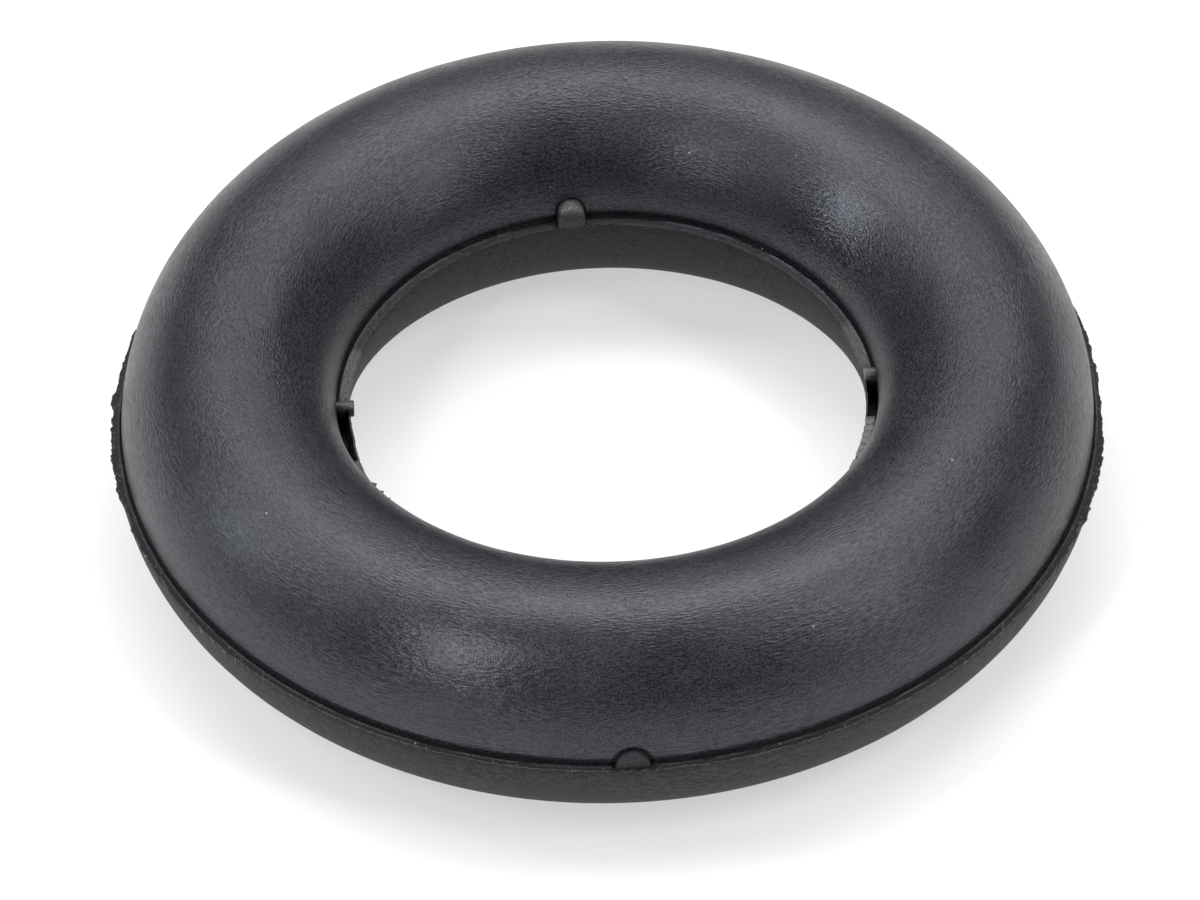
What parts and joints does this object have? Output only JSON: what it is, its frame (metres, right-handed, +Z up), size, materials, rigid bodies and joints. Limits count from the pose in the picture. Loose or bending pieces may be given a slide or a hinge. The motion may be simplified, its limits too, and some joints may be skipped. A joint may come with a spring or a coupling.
{
  "type": "exhaust mounting ring",
  "caption": "Thick round rubber ring, moulded in one piece, that hangs an exhaust pipe from hooks through its hole.",
  "frame": {"origin": "on the ring's axis, level with the narrow flat on its underside that it lies on", "axes": "+Z up along the ring's axis, from the proud lower half to the upper half; -Y towards the nub on the outer ledge"},
  "size_m": [0.062, 0.062, 0.0151],
  "materials": {
    "ring_rubber": "charcoal black moulded rubber, satin, with fine tooling lines and a little white dust"
  },
  "bodies": {
    "root": {"mounting_ring": "ring_rubber"}
  },
  "joints": []
}
